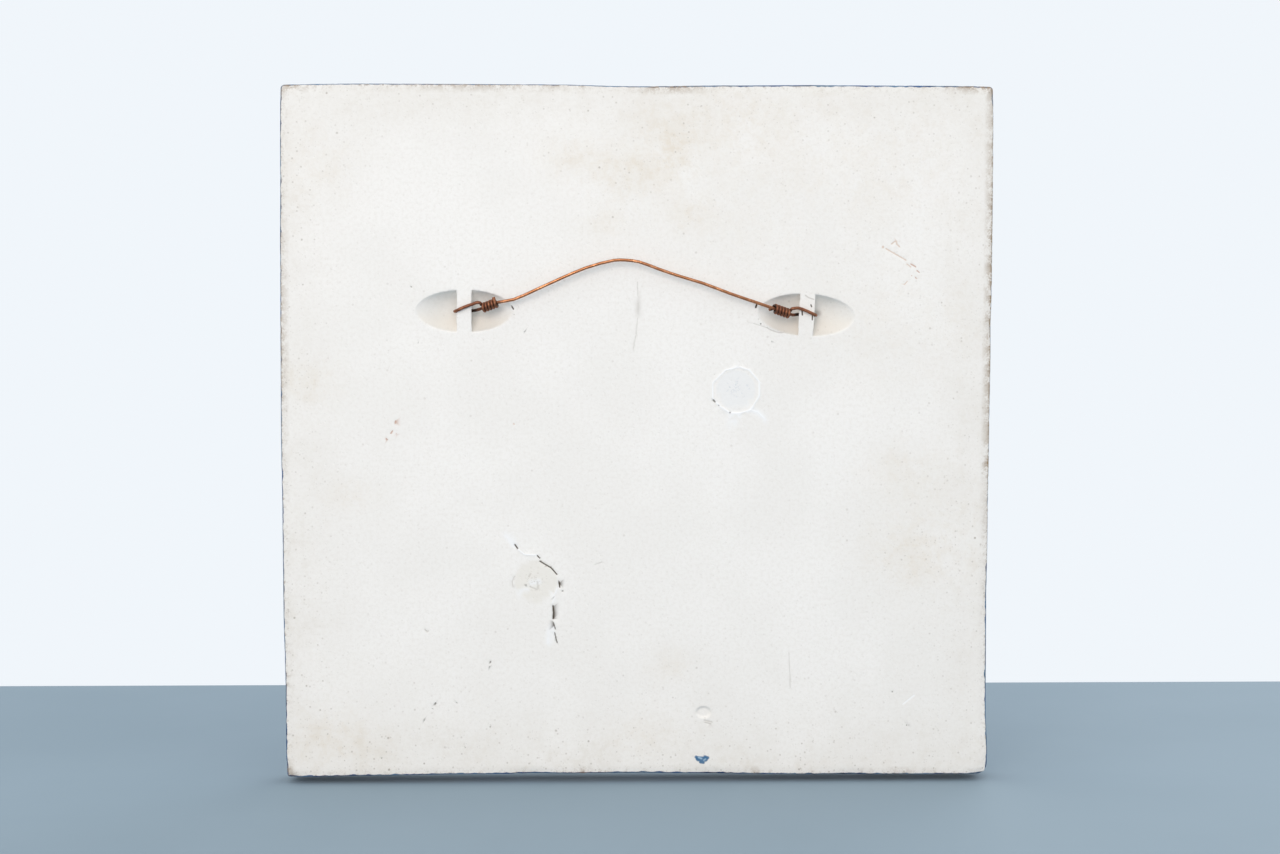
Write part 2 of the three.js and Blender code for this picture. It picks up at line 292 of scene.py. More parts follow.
# Where handling has worn the back arris: place, reach and depth
WORN_SPOTS = (
    (199, -194, 7, 1.1), (-198, -193, 6, 0.8), (-198, 193, 5, 0.6), (198, 193, 6, 0.7),
    (-60, -195, 9, 0.5), (40, -195, 12, 0.5), (120, -195, 10, 0.4), (199, 60, 10, 0.4),
)

# Brown dirt on the arris: place, reach along and across, and strength
RIM_DIRT = (
    (18, 195, 18, 6, 0.9), (-193, 193, 8, 6, 0.9), (190, 194, 14, 6, 0.9), (-198, -192, 6, 6, 0.8),
    (199, 80, 6, 120, 1.0), (-31, -194, 4, 4, 0.8), (66, -194, 3, 4, 0.9), (150, -194, 6, 4, 0.8),
    (199, -18, 4, 3, 0.9), (-199, 60, 5, 60, 0.6), (-90, 195, 50, 5, 0.6),
)

# The bare clay
CLAY_DULL = (0.875, 0.862, 0.832, 1)
CLAY_BRIGHT = (0.905, 0.893, 0.866, 1)
CLAY_GRAIN = (0.79, 0.765, 0.725, 1)
CLAY_HANDLED = (0.76, 0.725, 0.665, 1)
CLAY_STAINED = (0.76, 0.69, 0.585, 1)
CLAY_IN_SCOOPS = (0.8, 0.765, 0.7, 1)
# Painted shade: the near-black colour put on the tunnels' walls
TUNNEL_PAINTED_SHADE = (0.09, 0.065, 0.05, 1)
BROWN_ARRIS = (0.3, 0.235, 0.165, 1)
BROWN_DIRT = (0.3, 0.21, 0.125, 1)
CLAY_ROUGHNESS = 0.88

# The clay's specks: cells to a metre, size in a cell, share of the cells, strength and colour
SPECKS = (
    (800, 0.36, 0.3, 0.3, (0.56, 0.53, 0.48, 1)),
    (420, 0.24, 0.3, 0.4, (0.42, 0.38, 0.33, 1)),
    (150, 0.1, 0.3, 0.6, (0.32, 0.27, 0.22, 1)),
)

# The glaze
GLAZE_DEEP = (0.006, 0.018, 0.075, 1)
GLAZE_BLUE = (0.018, 0.062, 0.215, 1)
GLAZE_PALE_FLECKS = (0.12, 0.27, 0.46, 1)
GLAZE_IRON_SPECKS = (0.02, 0.014, 0.012, 1)
GLAZE_THINNED = (0.14, 0.24, 0.34, 1)
GLAZE_ROUGHNESS = (0.13, 0.24)

# The copper
COPPER_BRIGHT = (0.72, 0.34, 0.175, 1)
COPPER_TARNISHED = (0.44, 0.19, 0.09, 1)
COPPER_BROWNED = (0.22, 0.082, 0.045, 1)
# Painted shade: near black between the wire's turns and inside the tunnels
COPPER_PAINTED_SHADE = (0.03, 0.017, 0.012, 1)
COPPER_GRIME = (0.05, 0.035, 0.03, 1)

# The stage: two greys of blue, and how far the floor is under the plaque's lower edge
FLOOR_COLOURS = ((0.245, 0.327, 0.388, 1), (0.262, 0.345, 0.408, 1))
FLOOR_DROP = 0.0035
WINDOW = {"place": (0.55, 2.4, 0.75), "size": 1.6, "power": 29, "colour": (1.0, 0.86, 0.755)}
FRONT_FILL = {"place": (-1.2, -2.0, 0.9), "size": 1.6, "power": 12, "colour": (0.95, 0.98, 1.0)}
ROOM_COLOUR = (0.875, 0.92, 0.965, 1)

# The photograph's view
LENS = 50.0
SENSOR = 36.0
CAMERA_PLACE = (0.01836, 0.99709, -0.04528)
CAMERA_PITCH = 2.659
CAMERA_YAW = 1.106


def stand_up(bm):
    """Turns a piece from the lying plaque's millimetres to the part's frame."""
    turn = Matrix(((-1, 0, 0), (0, 0, 1), (0, 1, 0))).to_4x4()
    shift = Matrix.Translation((0, -STAND_OFF * MM, -HOOK_HEIGHT * MM))
    bmesh.ops.transform(bm, matrix=shift @ Matrix.Scale(MM, 4) @ turn, verts=bm.verts)


def piece_from(bm, name):
    """Makes an object of the finished shape and puts it in the scene."""
    mesh = bpy.data.meshes.new(name)
    bm.to_mesh(mesh)
    bm.free()
    made = bpy.data.objects.new(name, mesh)
    bpy.context.scene.collection.objects.link(made)
    return made


def smooth_step(low, high, x):
    t = np.clip((x - low) / (high - low), 0.0, 1.0)
    return t * t * (3 - 2 * t)


def swell_at(stations, share):
    """How far a side stands out at a share of its length, smooth between its even stations."""
    values = np.array((0.0, *stations, 0.0))
    place = np.clip(share, 0, 1) * (len(values) - 1)
    low = np.minimum(place.astype(int), len(values) - 2)
    return values[low] + (values[low + 1] - values[low]) * smooth_step(0, 1, place - low)


def grain(points, size, seed=0.0):
    """Smooth noise from -1 to 1 at the given points, with features about size across."""
    spots = [Vector((p[0] / size + seed, p[1] / size, p[2] / size)) for p in points]
    return np.array([noise.noise(spot) for spot in spots])


# The wire's route

def tied_end(lug, side, knot):
    """One end of the wire: its tail and turns, the loop through its lug, and the line inside the turns."""
    def place(spot):
        return Vector((lug["u"] + side * spot[0], lug["v"] + spot[1], spot[2]))

    root = place(knot["root"])
    head = place(knot["head"])
    along = (head - root).normalized()
    up = (Vector((0, 1, 0)) - along * along.y).normalized()
    out = along.cross(up) * side
    wrap = WIRE + 1.4 * TURN_GAP
    pitch = WIRE + TURN_GAP
    edge = BRIDGE / 2
    on_face = WIRE / 2 + WIRE_GAP
    wraps = []
    for bend in range(round(knot["turns"] * BENDS_PER_TURN), -1, -1):
        angle = 2 * math.pi * bend / BENDS_PER_TURN
        step = along * (pitch * bend / BENDS_PER_TURN)
        wraps.append(root + step + up * (wrap * math.cos(angle)) - out * (wrap * math.sin(angle)))
    way = (along * knot["tail"][0] + up * knot["tail"][1] + out * knot["tail"][2]).normalized()
    tail = [wraps[0] + way * knot["reach"] * share for share in (1, 0.5)]
    loop = [place(spot) for spot in (
        (knot["root"][0] - 0.61 * WIRE, knot["root"][1] + 1.61 * WIRE, 1.17 * WIRE),
        (knot["root"][0] - 1.44 * WIRE, knot["root"][1] + 1.72 * WIRE, 1.28 * WIRE),
        (edge + 0.22 * WIRE, 2.17 * WIRE, on_face + 0.17 * WIRE),
        (0, 1.22 * WIRE, on_face),
        (-edge + 0.5 * WIRE, 0.33 * WIRE, on_face - 0.05 * WIRE),
        (-edge - 0.44 * WIRE, 0, -0.28 * WIRE),
        (-edge - 0.56 * WIRE, -0.05 * WIRE, 0.11 * WIRE - TUNNEL_DEPTH / 2),
        (-edge - 0.11 * WIRE, 0, 0.5 * WIRE - TUNNEL_DEPTH),
        (-edge + 0.89 * WIRE, 0.05 * WIRE, -TUNNEL_DEPTH),
        (edge - 1.11 * WIRE, 0.17 * WIRE, -TUNNEL_DEPTH),
        (edge + 0.33 * WIRE, 0.22 * WIRE, 0.5 * WIRE - TUNNEL_DEPTH),
    )]
    core = [root - along * pitch, root.lerp(head, 0.5), head]
    return tail + wraps, loop, core


def rounded_route(points, steps):
    """A smooth route through the points, with a number of steps in each stretch."""
    ends = [points[0] * 2 - points[1], *points, points[-1] * 2 - points[-2]]
    route = []
    for a, b, c, d in zip(ends, ends[1:], ends[2:], ends[3:]):
        ta = (b - a).length ** 0.5
        tb = (c - b).length ** 0.5
        tc = (d - c).length ** 0.5
        leave = ((b - a) / ta - (c - a) / (ta + tb) + (c - b) / tb) * tb
        arrive = ((c - b) / tb - (d - b) / (tb + tc) + (d - c) / tc) * tb
        for step in range(steps):
            t = step / steps
            route.append(b * (2 * t ** 3 - 3 * t ** 2 + 1) + leave * (t ** 3 - 2 * t ** 2 + t)
                         + c * (3 * t ** 2 - 2 * t ** 3) + arrive * (t ** 3 - t ** 2))
    return route + [points[-1]]


def wire_route():
    """The wire's middle line, from its left tail over the arch to its right tail."""
    left_wraps, left_loop, left_core = tied_end(LEFT_LUG, 1, LEFT_KNOT)
    right_wraps, right_loop, right_core = tied_end(RIGHT_LUG, -1, RIGHT_KNOT)
    start = left_core[-1]
    end = right_core[-1]
    arch = []
    for share, rise in ARCH:
        point = start.lerp(end, share)
        settle = min(1, 8 * share, 8 * (1 - share))
        point.y += rise
        point.z += settle * (STAND_OFF - point.z)
        arch.append(point)
    return left_wraps + left_loop + left_core + arch + (right_wraps + right_loop + right_core)[::-1]


def tube(bm, route, radius):
    """A round tube along a route: one ring carried along it, then bridged ring to ring."""
    rings = []
    heading = (route[1] - route[0]).normalized()
    across = heading.orthogonal().normalized()
    for i, point in enumerate(route):
        ahead = route[min(i + 1, len(route) - 1)] - route[max(i - 1, 0)]
        turn = heading.rotation_difference(ahead.normalized())
        across = (turn @ across).normalized()
        heading = ahead.normalized()
        facing = Matrix((across, heading.cross(across), heading)).transposed().to_4x4()
        pose = Matrix.Translation(point) @ facing
        made = bmesh.ops.create_circle(bm, segments=WIRE_SIDES, radius=radius, matrix=pose, cap_ends=False)
        rings.append(list({edge for vert in made["verts"] for edge in vert.link_edges}))
    for near, far in zip(rings, rings[1:]):
        bmesh.ops.bridge_loops(bm, edges=near + far)
    bmesh.ops.holes_fill(bm, edges=rings[0] + rings[-1], sides=0)


def number_layer(piece, name, values):
    """Writes one number for each vertex, for the material to read."""
    layer = piece.data.attributes.new(name, 'FLOAT', 'POINT')
    layer.data.foreach_set("value", values.astype(np.float32))


def by_bridge(points, lug):
    """True for the points that are near a lug's bridge, along the wire's way."""
    return np.abs(points[:, 0] - lug["u"]) < BRIDGE


def wire_painted_shade(points):
    """1 in the grooves between the turns and down in the tunnels' mouths, where the wire gets painted shade.
    """
    dark = np.zeros(len(points))
    for lug, side, knot in ENDS:
        core = tied_end(lug, side, knot)[2]
        start = np.array(core[0])
        way = np.array(core[2]) - start
        length = np.linalg.norm(way)
        along = (points - start) @ way / length
        off = np.linalg.norm(points - start - along[:, None] * way / length, axis=1)
        turns = (along > 0) & (along < length + WIRE) & (off > 0.56 * WIRE)
        dark = np.maximum(dark, turns * smooth_step(1.58 * WIRE, 1.2 * WIRE, off))
        dark = np.maximum(dark, by_bridge(points, lug) * smooth_step(-0.2, -1.6, points[:, 2]))
    return dark


def hanging_wire():
    """The copper wire, with its two knots."""
    route = rounded_route(wire_route(), 2)
    bm = bmesh.new()
    tube(bm, route, WIRE / 2)
    bmesh.ops.recalc_face_normals(bm, faces=bm.faces)
    for face in bm.faces:
        face.smooth = len(face.verts) == 4
    points = np.array([v.co for v in bm.verts])
    stand_up(bm)
    wire = piece_from(bm, "copper_wire")
    middle = (LEFT_LUG["u"] + RIGHT_LUG["u"]) / 2
    from_middle = np.abs(points[:, 0] - middle)
    number_layer(wire, "browned", smooth_step(ARCH_REACH - 4, ARCH_REACH + 3, from_middle))
    # Painted shade between the turns and in the tunnels
    number_layer(wire, "crevice_shade", wire_painted_shade(points))
    return wire


# The plaque's body

def cut_lines(bm, low, high, step, direction):
    """Cuts the slab across in even steps, so that its faces can carry the relief."""
    count = max(1, round((high - low) / step))
    for i in range(1, count):
        place = low + (high - low) * i / count
        geometry = bm.verts[:] + bm.edges[:] + bm.faces[:]
        bmesh.ops.bisect_plane(bm, geom=geometry, plane_co=direction * place, plane_no=direction, dist=1e-5)


def slab_block():
    """The plain slab, with its corners and arrises rounded, cut into small faces."""
    bm = bmesh.new()
    size = Matrix.Diagonal((WIDTH, HEIGHT, THICKNESS, 1))
    bmesh.ops.create_cube(bm, size=1, matrix=Matrix.Translation((0, 0, -THICKNESS / 2)) @ size)
    upright = [e for e in bm.edges if abs(e.verts[0].co.z - e.verts[1].co.z) > 1]
    worn = [e for e in upright if e.verts[0].co.x > 0 and e.verts[0].co.y < 0]
    sharp = [e for e in upright if e not in worn]
    bmesh.ops.bevel(bm, geom=worn, offset=WORN_CORNER, segments=5, profile=0.5,
                    affect='EDGES', material=-1)
    bmesh.ops.bevel(bm, geom=[e for e in sharp if e.is_valid], offset=CORNER, segments=3, profile=0.5,
                    affect='EDGES', material=-1)
    rims = [e for e in bm.edges if abs(e.verts[0].co.z - e.verts[1].co.z) < 1e-4]
    bmesh.ops.bevel(bm, geom=rims, offset=ARRIS, segments=4, profile=0.5, affect='EDGES', material=-1)
    half_u = WIDTH / 2
    half_v = HEIGHT / 2
    cut_lines(bm, -half_u + CORNER, half_u - CORNER, FACE_STEP, Vector((1, 0, 0)))
    cut_lines(bm, -half_v + CORNER, half_v - CORNER, FACE_STEP, Vector((0, 1, 0)))
    cut_lines(bm, -THICKNESS + ARRIS, -ARRIS, SIDE_STEP, Vector((0, 0, 1)))
    return bm


def refine(bm, near, cuts):
    """Splits the edges whose two ends are both near what needs finer faces."""
    points = np.array([v.co for v in bm.verts])
    close = near(points)
    bm.verts.index_update()
    edges = [e for e in bm.edges if close[e.verts[0].index] and close[e.verts[1].index]]
    bmesh.ops.subdivide_edges(bm, edges=edges, cuts=cuts, use_grid_fill=True)


def near_lugs(points):
    """True on the back face where the scoops are cut."""
    close = np.zeros(len(points), bool)
    for lug in (LEFT_LUG, RIGHT_LUG):
        across = np.abs(points[:, 0] - lug["u"]) < SCOOP_LENGTH / 2 + 3.5
        updown = np.abs(points[:, 1] - lug["v"]) < SCOOP_HEIGHT / 2 + 3.5
        close |= across & updown & (points[:, 2] > -0.1)
    return close


def rim_distance(points):
    """How far inside the straight outline each point lies."""
    return np.minimum(WIDTH / 2 - np.abs(points[:, 0]), HEIGHT / 2 - np.abs(points[:, 1]))


def near_back_rim(points):
    """True by the back arris, which crumbles."""
    return (rim_distance(points) < 3.2) & (points[:, 2] > -3.4)


def line_distance(points, line):
    """How far each point is, along the face, from a line through the given spots."""
    spots = np.array(line, float)
    place = points[:, :2]
    least = np.linalg.norm(place - spots[0], axis=1)
    for a, b in zip(spots, spots[1:]):
        way = b - a
        share = np.clip(((place - a) @ way) / (way @ way), 0, 1)
        least = np.minimum(least, np.linalg.norm(place - (a + share[:, None] * way), axis=1))
    return least


def all_marks():
    """The listed marks, and the fine pitting scattered over the fillings."""
    chance = random.Random(11)
    pits = []
    for finish, u, v, reach, number in PITTING:
        for _ in range(number):
            spot = (chance.gauss(u, reach / 2), chance.gauss(v, reach / 2))
            pits.append((finish, chance.uniform(0.3, 0.6), 0.08, (spot,)))
    return MARKS + tuple(pits)


def near_marks(points, margin):
    """True on the back face within a margin of the dent or of a fine mark."""
    close = np.hypot(points[:, 0] - DENT["u"], points[:, 1] - DENT["v"]) < DENT["width"] / 2 + margin
    for finish, width, _, line in all_marks():
        if FINISHES[finish]["fine"]:
            close |= line_distance(points, line) < width / 2 + margin
    return close & (points[:, 2] > -0.1)


def scoop_halves(lug):
    """The two halves of a boat-shaped scoop, on either side of the bridge."""
    reach = SCOOP_DEPTH + SCOOP_RIM
    flare = 1 / math.sqrt(1 - (SCOOP_RIM / reach) ** 2)
    bm = bmesh.new()
    for side in (-1, 1):
        half = bmesh.new()
        shape = Matrix.Diagonal((flare * SCOOP_LENGTH / 2, flare * SCOOP_HEIGHT / 2, reach, 1))
        lie = Matrix.Rotation(math.pi / 2, 4, 'Y')
        bmesh.ops.create_uvsphere(half, u_segments=64, v_segments=40, radius=1,
                                  matrix=Matrix.Translation((0, 0, SCOOP_RIM)) @ shape @ lie)
        wall = Vector((side, 0, -BRIDGE_DRAFT))
        geometry = half.verts[:] + half.edges[:] + half.faces[:]
        bmesh.ops.bisect_plane(half, geom=geometry, plane_co=(side * BRIDGE / 2, 0, 0), plane_no=wall,
                               clear_inner=True, dist=1e-5)
        bmesh.ops.holes_fill(half, edges=half.edges, sides=0)
        seat = Matrix.Translation((lug["u"], lug["v"], 0)) @ Matrix.Rotation(lug["tilt"], 4, 'Z')
        bmesh.ops.transform(half, matrix=seat, verts=half.verts)
        bmesh.ops.recalc_face_normals(half, faces=half.faces)
        half_mesh = bpy.data.meshes.new("scoop_half")
        half.to_mesh(half_mesh)
        half.free()
        bm.from_mesh(half_mesh)
        bpy.data.meshes.remove(half_mesh)
    return bm


def tunnel_core(lug):
    """What the tunnel under the bridge takes away."""
    bm = bmesh.new()
    length = BRIDGE + 4 * BRIDGE_DRAFT * SCOOP_DEPTH
    lie = Matrix.Rotation(lug["tilt"], 4, 'Z') @ Matrix.Rotation(math.pi / 2, 4, 'Y')
    bmesh.ops.create_cone(bm, cap_ends=True, segments=24, depth=length,
                          radius1=TUNNEL / 2, radius2=TUNNEL / 2,
                          matrix=Matrix.Translation((lug["u"], lug["v"], -TUNNEL_DEPTH)) @ lie)
    return bm


def wire_seat(lug, side, knot):
    """The groove that the wire has bitten over the bridge and round its far edge."""
    loop = tied_end(lug, side, knot)[1]
    bm = bmesh.new()
    tube(bm, rounded_route(loop, 3), WIRE / 2 + WIRE_GAP)
    bmesh.ops.recalc_face_normals(bm, faces=bm.faces)
    return bm


def cut_out(body, cutter_mesh):
    """Cuts one shape out of the body for good."""
    cutter = piece_from(cutter_mesh, "cutter")
    cut = body.modifiers.new("cut", 'BOOLEAN')
    cut.operation = 'DIFFERENCE'
    cut.solver = 'EXACT'
    cut.object = cutter
    depsgraph = bpy.context.evaluated_depsgraph_get()
    result = bpy.data.meshes.new_from_object(body.evaluated_get(depsgraph))
    old = body.data
    body.modifiers.remove(cut)
    body.data = result
    bpy.data.meshes.remove(old)
    bpy.data.objects.remove(cutter)


def in_a_lug(place):
    """True for a place in the upper half of the slab's thickness, within a lug's bounds."""
    for lug in (LEFT_LUG, RIGHT_LUG):
        beside = abs(place.x - lug["u"]) < SCOOP_LENGTH / 2 + 3.5
        if beside and abs(place.y - lug["v"]) < SCOOP_HEIGHT / 2 + 3:
            return place.z > -THICKNESS / 2
    return False


def soften_lugs(bm):
    """Rounds the outer cut edges of the scoops, bridges and tunnels, and keeps the inner ones crisp."""
    sharp = set()
    for edge in bm.edges:
        if in_a_lug((edge.verts[0].co + edge.verts[1].co) / 2) and len(edge.link_faces) == 2:
            if edge.calc_face_angle_signed(0) > math.radians(24):
                sharp.update(edge.verts)
            elif edge.calc_face_angle_signed(0) < -math.radians(30):
                edge.smooth = False
    near = {v for vert in sharp for edge in vert.link_edges for v in edge.verts}
    for verts in (near, sharp):
        bmesh.ops.smooth_vert(bm, verts=list(verts), factor=0.5,
                              use_axis_x=True, use_axis_y=True, use_axis_z=True)


def side_shares(points):
    """How strongly each point belongs to the right, top, left and bottom, and its share along them."""
    u = points[:, 0] / (WIDTH / 2)
    v = points[:, 1] / (HEIGHT / 2)
    pull = [smooth_step(0.7, 1.0, side) for side in (u, v, -u, -v)]
    along = [(v + 1) / 2, (1 - u) / 2, (1 - v) / 2, (u + 1) / 2]
    return pull, along


def swell_sides(points):
    """Moves the sides out and in, as the hand-cut slab's sides run."""
    pull, along = side_shares(points)
    out = [swell_at(stations, share) for stations, share in
           zip((RIGHT_SWELL, TOP_SWELL, LEFT_SWELL, BOTTOM_SWELL), along)]
    moved = points.copy()
    moved[:, 0] += pull[0] * out[0] - pull[2] * out[2]
    moved[:, 1] += pull[1] * out[1] - pull[3] * out[3]
    return moved


def in_lugs(points):
    """1 inside the scoops' outlines and 0 outside."""
    inside = np.zeros(len(points))
    for lug in (LEFT_LUG, RIGHT_LUG):
        across = (points[:, 0] - lug["u"]) / (SCOOP_LENGTH / 2)
        axis_v = lug["v"] + lug["tilt"] * (points[:, 0] - lug["u"])
        updown = (points[:, 1] - axis_v) / (SCOOP_HEIGHT / 2)
        inside = np.maximum(inside, smooth_step(1.08, 0.92, np.hypot(across, updown)))
    return inside


def back_relief(points):
    """How far the bare back stands out or in: hand-worked clay, the dent, and each mark's own depth."""
    face = smooth_step(-0.6, -0.05, points[:, 2])
    lift = sum(height * grain(points, size, seed) for height, size, seed in CLAY_WAVES)
    across = (points[:, 0] - DENT["u"]) / (DENT["width"] / 2)
    updown = (points[:, 1] - DENT["v"]) / (DENT["height"] / 2)
    lift -= DENT["depth"] * smooth_step(1.05, 0.6, np.hypot(across, updown))
    for _, width, depth, line in all_marks():
        lift -= depth * smooth_step(width / 2 + 0.25, width / 2 - 0.25, line_distance(points, line))
    return face * lift


def crumbled_arris(points):
    """How far the back arris has crumbled in, in teeth along the edge and in a few worn places."""
    rim = rim_distance(points)
    on_arris = np.exp(-(((rim - 0.4) / CRUMBLE_REACH) ** 2 + ((points[:, 2] + 0.4) / CRUMBLE_REACH) ** 2))
    teeth = np.clip(grain(points, 3.2, 3) + 0.25 * grain(points, 1.5, 7), 0, 1)
    patches = smooth_step(-0.5, 0.4, grain(points, 26, 11))
    lower = smooth_step(-150, -190, points[:, 1])
    depth = teeth * (0.55 + 0.5 * lower) * (0.35 + 0.65 * patches)
    for u, v, reach, wear in WORN_SPOTS:
        depth += wear * np.exp(-(((points[:, 0] - u) / reach) ** 2 + ((points[:, 1] - v) / reach) ** 2))
    return on_arris * depth


def front_relief(points):
    """The border round the sunk field, under a thick uneven glaze."""
    low = smooth_step(-THICKNESS + 3, -THICKNESS + 0.4, points[:, 2])
    depth = FIELD_DEPTH * smooth_step(BORDER, BORDER + FIELD_SHOULDER, rim_distance(points))
    swim = 0.16 + 0.2 * grain(points, 24, 15) + 0.08 * grain(points, 8, 19)
    return low * np.maximum(depth + swim, 0)


def shape_body(points):
    """Where each point of the cut slab ends up, with its swelled sides, worn arrises and relief."""
    u, v, w = points.T
    depth = crumbled_arris(points)
    rim_u = WIDTH / 2 - np.abs(u)
    rim_v = HEIGHT / 2 - np.abs(v)
    by_side = smooth_step(2.5, 0.5, rim_u)
    by_end = smooth_step(2.5, 0.5, rim_v)
    moved = swell_sides(points)
    moved[:, 0] -= np.sign(u) * by_side * depth * 0.8
    moved[:, 1] -= np.sign(v) * by_end * depth * 0.8
    moved[:, 2] -= depth * 0.6
    moved[:, 2] += back_relief(points) * (1 - in_lugs(points))
    moved[:, 2] += front_relief(points)
    side = smooth_step(-0.5, -2.5, w) * smooth_step(-THICKNESS + 0.5, -THICKNESS + 2.5, w)
    wave = np.clip(0.1 + 0.25 * grain(points, 16, 23), 0, 1)
    moved[:, 0] -= np.sign(u) * by_side * side * wave
    moved[:, 1] -= np.sign(v) * by_end * side * wave
    for lug in (LEFT_LUG, RIGHT_LUG):
        across = np.abs(u - lug["u"]) / (SCOOP_LENGTH / 2)
        inside = (across < 1.2) & (np.abs(v - lug["v"]) < SCOOP_HEIGHT / 2 + 2) & (w > -SCOOP_DEPTH - 1)
        moved[:, 2] -= inside * TIP_RISE * smooth_step(0.4, 1.0, across) * np.minimum(w, 0)
    scoop = in_lugs(points) * smooth_step(-0.4, -1.5, w) * smooth_step(-16, -12, w)
    moved[:, 2] += scoop * (0.22 * grain(points, 7, 27) + 0.1 * grain(points, 2.5, 31))
    return moved


def glaze_reach(points):
    """How far up the back arris the glaze comes, from 0 to 1, by the side and the place along it."""
    pull, along = side_shares(points)
    broken = grain(points, 5, 35)
    right = np.where(along[0] < 0.31, 0.85, 0.6) + 0.2 * broken
    top = 0.78 + 0.1 * smooth_step(0.6, 0.45, along[1]) + 0.12 * broken
    left = 0.8 + 0.2 * broken
    bottom = 0.88 + 0.12 * broken
    reach = np.zeros(len(points))
    for strength, value in zip(pull, (right, top, left, bottom)):
        reach = np.where(strength > 0.9, value, reach)
    return reach


def mark_colours(points):
    """The colour that the marks give each point, and how much of it covers the clay, as four columns."""
    face = smooth_step(-1.2, -0.4, points[:, 2])
    colour = np.tile(CLAY, (len(points), 1))
    amount = np.zeros(len(points))
    for finish, width, _, line in all_marks():
        look = FINISHES[finish]
        soft = look["soft"]
        off = line_distance(points, line)
        share = look["strength"] * smooth_step(width / 2 + soft, width / 2 - soft, off)
        share = share * (face if look["fine"] else 1)
        total = share + amount * (1 - share)
        weight = share / np.maximum(total, 1e-6)
        colour += (np.array(look["colour"]) - colour) * weight[:, None]
        amount = total
    return np.column_stack((colour, amount))


def stained(points):
    """How strongly the faint stains show."""
    u, v, _ = points.T
    stain = np.zeros(len(points))
    for spot_u, spot_v, size, strength in STAINS:
        stain += strength * np.exp(-(((u - spot_u) / size) ** 2 + ((v - spot_v) / (size * 0.7)) ** 2))
    return stain


def rim_dirt(points):
    """How strongly the brown dirt on the arris shows."""
    u, v, _ = points.T
    dirt = np.zeros(len(points))
    for spot_u, spot_v, reach_u, reach_v, strength in RIM_DIRT:
        spread = ((u - spot_u) / reach_u) ** 2 + ((v - spot_v) / reach_v) ** 2
        dirt += strength * np.exp(-spread) * smooth_step(2.4, 0.7, rim_distance(points))
    return dirt


def painted_tunnel_shade(points):
    """1 on the walls of the two tunnels, where the near-black painted shade goes."""
    u, v, w = points.T
    tunnel = np.zeros(len(points))
    for lug in (LEFT_LUG, RIGHT_LUG):
        axis_v = lug["v"] + lug["tilt"] * (u - lug["u"])
        off = np.hypot(v - axis_v, w + TUNNEL_DEPTH)
        wall = smooth_step(TUNNEL / 2 + 0.35, TUNNEL / 2 + 0.05, off) * by_bridge(points, lug)
        tunnel = np.maximum(tunnel, wall)
    return tunnel


def paint_body(body, points):
    """Writes the glaze, the marks, the dirt, the stains and the painted shade in the tunnels as attributes
    on the mesh.
    """
    u, v, w = points.T
    rim = rim_distance(points)
    up_arris = (w + ARRIS) / ARRIS
    reach = glaze_reach(points)
    glaze = smooth_step(reach + 0.2, reach - 0.12, up_arris) * smooth_step(1.9, 1.2, rim)
    glaze = np.where(w > -THICKNESS + 2, glaze, 1)
    front_edge = smooth_step(3.0, 0.6, np.hypot(np.maximum(rim, 0), w + THICKNESS))
    back_edge = smooth_step(0.1, 0.7, up_arris)

    low_back = smooth_step(-40, -195, v) * smooth_step(150, 10, rim)
    handled = 0.55 * smooth_step(42, 2, rim) + 0.25 * low_back
    lower = smooth_step(3, -7, v - np.where(u < 0, LEFT_LUG["v"], RIGHT_LUG["v"]))
    hollow = in_lugs(points) * smooth_step(-0.3, -2.5, w) * (0.25 + 0.75 * lower)

    number_layer(body, "glaze", glaze)
    number_layer(body, "thin_glaze", np.clip(np.maximum(front_edge, back_edge), 0, 1))
    number_layer(body, "handled", np.clip(handled, 0, 1))
    number_layer(body, "stain", np.clip(stained(points), 0, 1))
    number_layer(body, "hollow", hollow)
    number_layer(body, "dirt", np.clip(rim_dirt(points), 0, 1))
    # Painted shade inside the tunnels
    number_layer(body, "tunnel", painted_tunnel_shade(points))
    number_layer(body, "rim", smooth_step(2.0, 0.5, rim) * smooth_step(-1.3, -0.7, w))
    layer = body.data.attributes.new("mark", 'FLOAT_COLOR', 'POINT')
    layer.data.foreach_set("color", mark_colours(points).astype(np.float32).ravel())


def plaque_body():
    """The stoneware slab: cut, shaped and painted."""
    bm = slab_block()
    refine(bm, near_lugs, 2)
    refine(bm, near_back_rim, 1)
    refine(bm, lambda points: near_marks(points, 3.0), 2)
    refine(bm, lambda points: near_marks(points, 0.9), 2)
    body = piece_from(bm, "stoneware_plaque")
    for lug, side, knot in ENDS:
        cut_out(body, scoop_halves(lug))
        cut_out(body, tunnel_core(lug))
        cut_out(body, wire_seat(lug, side, knot))

    bm = bmesh.new()
    bm.from_mesh(body.data)
    soften_lugs(bm)
    points = np.array([v.co for v in bm.verts])
    for vert, place in zip(bm.verts, shape_body(points)):
        vert.co = place
    for face in bm.faces:
        face.smooth = True
    stand_up(bm)
    bm.to_mesh(body.data)
    bm.free()
    paint_body(body, points)
    return body


# Materials

